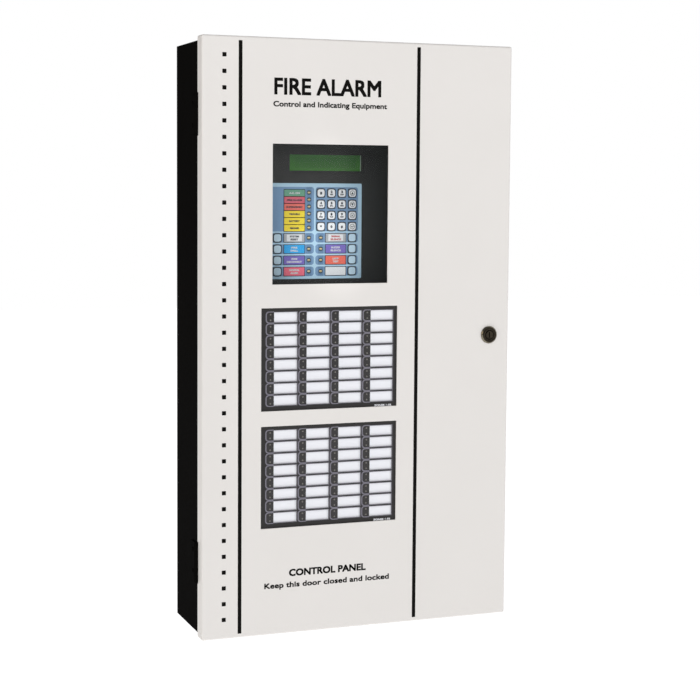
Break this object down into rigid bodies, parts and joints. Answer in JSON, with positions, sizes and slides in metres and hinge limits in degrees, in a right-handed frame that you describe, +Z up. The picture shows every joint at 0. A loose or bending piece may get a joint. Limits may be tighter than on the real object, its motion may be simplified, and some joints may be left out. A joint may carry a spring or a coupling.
{
  "type": "fire alarm control panel",
  "caption": "Wall-mounted fire alarm control panel: black steel backbox, white hinged door with windows, zone annunciators, text display and keypad.",
  "frame": {"origin": "centre of the backbox's back face, on the wall", "axes": "+Y into the wall, so the door faces -Y; +Z up; +X to the right of somebody facing the panel"},
  "size_m": [0.3718, 0.11, 0.66],
  "materials": {
    "backbox": "black satin powder coat",
    "door": "warm white satin powder coat with two printed black lines and a column of black squares",
    "display_window": "clear polycarbonate sheet",
    "faceplate": "black satin plastic",
    "label_card": "white printed card",
    "circuit_board": "green solder mask",
    "ribbon": "grey flat cable",
    "harness": "black sleeved wires",
    "lead": "red insulated wire",
    "zinc_steel": "zinc-plated steel",
    "black_steel": "black painted steel",
    "lock_metal": "dark chrome-plated zinc",
    "core": "laminated steel core and taped winding",
    "terminal": "green moulded housing",
    "mains_block": "black moulded block",
    "battery": "dark grey moulded case",
    "bezel_black": "matt black paint",
    "overlay": "printed blue polyester overlay",
    "lcd": "yellow-green text display, unlit",
    "key_white": "white key with printed legend",
    "key_blue": "light blue key"
  },
  "bodies": {
    "cabinet": {"backbox": "backbox", "chassis": "zinc_steel", "main_board": "circuit_board", "terminal_strip_bottom": "terminal", "terminal_strip_side": "terminal", "transformer": "core", "mains_terminal_block": "mains_block", "battery_left": "battery", "battery_right": "battery", "display_bracket": "bezel_black", "display_board": "circuit_board", "lcd_module": "lcd", "keypad_overlay": "overlay", "display_ribbon": "ribbon", "door_harness_box_end": "harness", "battery_lead": "lead", "hinge_upper_box_leaf": "black_steel", "hinge_lower_box_leaf": "black_steel", "hinge_upper_pin": "zinc_steel", "hinge_lower_pin": "zinc_steel"},
    "door": {"door": "door", "display_window": "display_window", "annunciator_upper_faceplate": "faceplate", "annunciator_upper_label_card": "label_card", "annunciator_upper_board": "circuit_board", "annunciator_lower_faceplate": "faceplate", "annunciator_lower_label_card": "label_card", "annunciator_lower_board": "circuit_board", "annunciator_link_ribbon": "ribbon", "hinge_upper_door_leaf": "zinc_steel", "hinge_lower_door_leaf": "zinc_steel", "lock_housing": "lock_metal", "lock_nut": "zinc_steel", "door_harness_door_end": "harness"},
    "lock": {"lock_plug": "lock_metal", "lock_cam": "zinc_steel"},
    "key_1": {"key_1": "key_white"},
    "key_2": {"key_2": "key_white"},
    "key_3": {"key_3": "key_white"},
    "key_up": {"key_up": "key_white"},
    "key_4": {"key_4": "key_white"},
    "key_5": {"key_5": "key_white"},
    "key_6": {"key_6": "key_white"},
    "key_down": {"key_down": "key_white"},
    "key_7": {"key_7": "key_white"},
    "key_8": {"key_8": "key_white"},
    "key_9": {"key_9": "key_white"},
    "key_cancel": {"key_cancel": "key_white"},
    "key_star": {"key_star": "key_white"},
    "key_0": {"key_0": "key_white"},
    "key_hash": {"key_hash": "key_white"},
    "key_enter": {"key_enter": "key_white"},
    "key_system_reset": {"key_system_reset": "key_blue"},
    "key_fire_drill": {"key_fire_drill": "key_blue"},
    "key_disconnect": {"key_disconnect": "key_blue"},
    "key_general_alarm": {"key_general_alarm": "key_blue"},
    "key_signal_silence": {"key_signal_silence": "key_blue"},
    "key_acknowledge": {"key_acknowledge": "key_blue"},
    "key_lamp_test": {"key_lamp_test": "key_blue"},
    "key_spare": {"key_spare": "key_blue"}
  },
  "joints": [
    {"name": "door_hinge", "type": "hinge", "parent": "cabinet", "child": "door", "pos_m": [-0.1848, -0.08875, 0], "axis": [0, 0, -1], "range_deg": [0, 120]},
    {"name": "lock_turn", "type": "hinge", "parent": "door", "child": "lock", "pos_m": [0.159, -0.0862, -0.001], "axis": [0, -1, 0], "range_deg": [0, 90]},
    {"name": "key_1_press", "type": "slide", "parent": "cabinet", "child": "key_1", "axis": [0, 1, 0], "range_m": [0, 0.0005], "stiffness_N_per_m": 1500},
    {"name": "key_2_press", "type": "slide", "parent": "cabinet", "child": "key_2", "axis": [0, 1, 0], "range_m": [0, 0.0005], "stiffness_N_per_m": 1500},
    {"name": "key_3_press", "type": "slide", "parent": "cabinet", "child": "key_3", "axis": [0, 1, 0], "range_m": [0, 0.0005], "stiffness_N_per_m": 1500},
    {"name": "key_up_press", "type": "slide", "parent": "cabinet", "child": "key_up", "axis": [0, 1, 0], "range_m": [0, 0.0005], "stiffness_N_per_m": 1500},
    {"name": "key_4_press", "type": "slide", "parent": "cabinet", "child": "key_4", "axis": [0, 1, 0], "range_m": [0, 0.0005], "stiffness_N_per_m": 1500},
    {"name": "key_5_press", "type": "slide", "parent": "cabinet", "child": "key_5", "axis": [0, 1, 0], "range_m": [0, 0.0005], "stiffness_N_per_m": 1500},
    {"name": "key_6_press", "type": "slide", "parent": "cabinet", "child": "key_6", "axis": [0, 1, 0], "range_m": [0, 0.0005], "stiffness_N_per_m": 1500},
    {"name": "key_down_press", "type": "slide", "parent": "cabinet", "child": "key_down", "axis": [0, 1, 0], "range_m": [0, 0.0005], "stiffness_N_per_m": 1500},
    {"name": "key_7_press", "type": "slide", "parent": "cabinet", "child": "key_7", "axis": [0, 1, 0], "range_m": [0, 0.0005], "stiffness_N_per_m": 1500},
    {"name": "key_8_press", "type": "slide", "parent": "cabinet", "child": "key_8", "axis": [0, 1, 0], "range_m": [0, 0.0005], "stiffness_N_per_m": 1500},
    {"name": "key_9_press", "type": "slide", "parent": "cabinet", "child": "key_9", "axis": [0, 1, 0], "range_m": [0, 0.0005], "stiffness_N_per_m": 1500},
    {"name": "key_cancel_press", "type": "slide", "parent": "cabinet", "child": "key_cancel", "axis": [0, 1, 0], "range_m": [0, 0.0005], "stiffness_N_per_m": 1500},
    {"name": "key_star_press", "type": "slide", "parent": "cabinet", "child": "key_star", "axis": [0, 1, 0], "range_m": [0, 0.0005], "stiffness_N_per_m": 1500},
    {"name": "key_0_press", "type": "slide", "parent": "cabinet", "child": "key_0", "axis": [0, 1, 0], "range_m": [0, 0.0005], "stiffness_N_per_m": 1500},
    {"name": "key_hash_press", "type": "slide", "parent": "cabinet", "child": "key_hash", "axis": [0, 1, 0], "range_m": [0, 0.0005], "stiffness_N_per_m": 1500},
    {"name": "key_enter_press", "type": "slide", "parent": "cabinet", "child": "key_enter", "axis": [0, 1, 0], "range_m": [0, 0.0005], "stiffness_N_per_m": 1500},
    {"name": "key_system_reset_press", "type": "slide", "parent": "cabinet", "child": "key_system_reset", "axis": [0, 1, 0], "range_m": [0, 0.0005], "stiffness_N_per_m": 1500},
    {"name": "key_fire_drill_press", "type": "slide", "parent": "cabinet", "child": "key_fire_drill", "axis": [0, 1, 0], "range_m": [0, 0.0005], "stiffness_N_per_m": 1500},
    {"name": "key_disconnect_press", "type": "slide", "parent": "cabinet", "child": "key_disconnect", "axis": [0, 1, 0], "range_m": [0, 0.0005], "stiffness_N_per_m": 1500},
    {"name": "key_general_alarm_press", "type": "slide", "parent": "cabinet", "child": "key_general_alarm", "axis": [0, 1, 0], "range_m": [0, 0.0005], "stiffness_N_per_m": 1500},
    {"name": "key_signal_silence_press", "type": "slide", "parent": "cabinet", "child": "key_signal_silence", "axis": [0, 1, 0], "range_m": [0, 0.0005], "stiffness_N_per_m": 1500},
    {"name": "key_acknowledge_press", "type": "slide", "parent": "cabinet", "child": "key_acknowledge", "axis": [0, 1, 0], "range_m": [0, 0.0005], "stiffness_N_per_m": 1500},
    {"name": "key_lamp_test_press", "type": "slide", "parent": "cabinet", "child": "key_lamp_test", "axis": [0, 1, 0], "range_m": [0, 0.0005], "stiffness_N_per_m": 1500},
    {"name": "key_spare_press", "type": "slide", "parent": "cabinet", "child": "key_spare", "axis": [0, 1, 0], "range_m": [0, 0.0005], "stiffness_N_per_m": 1500}
  ]
}
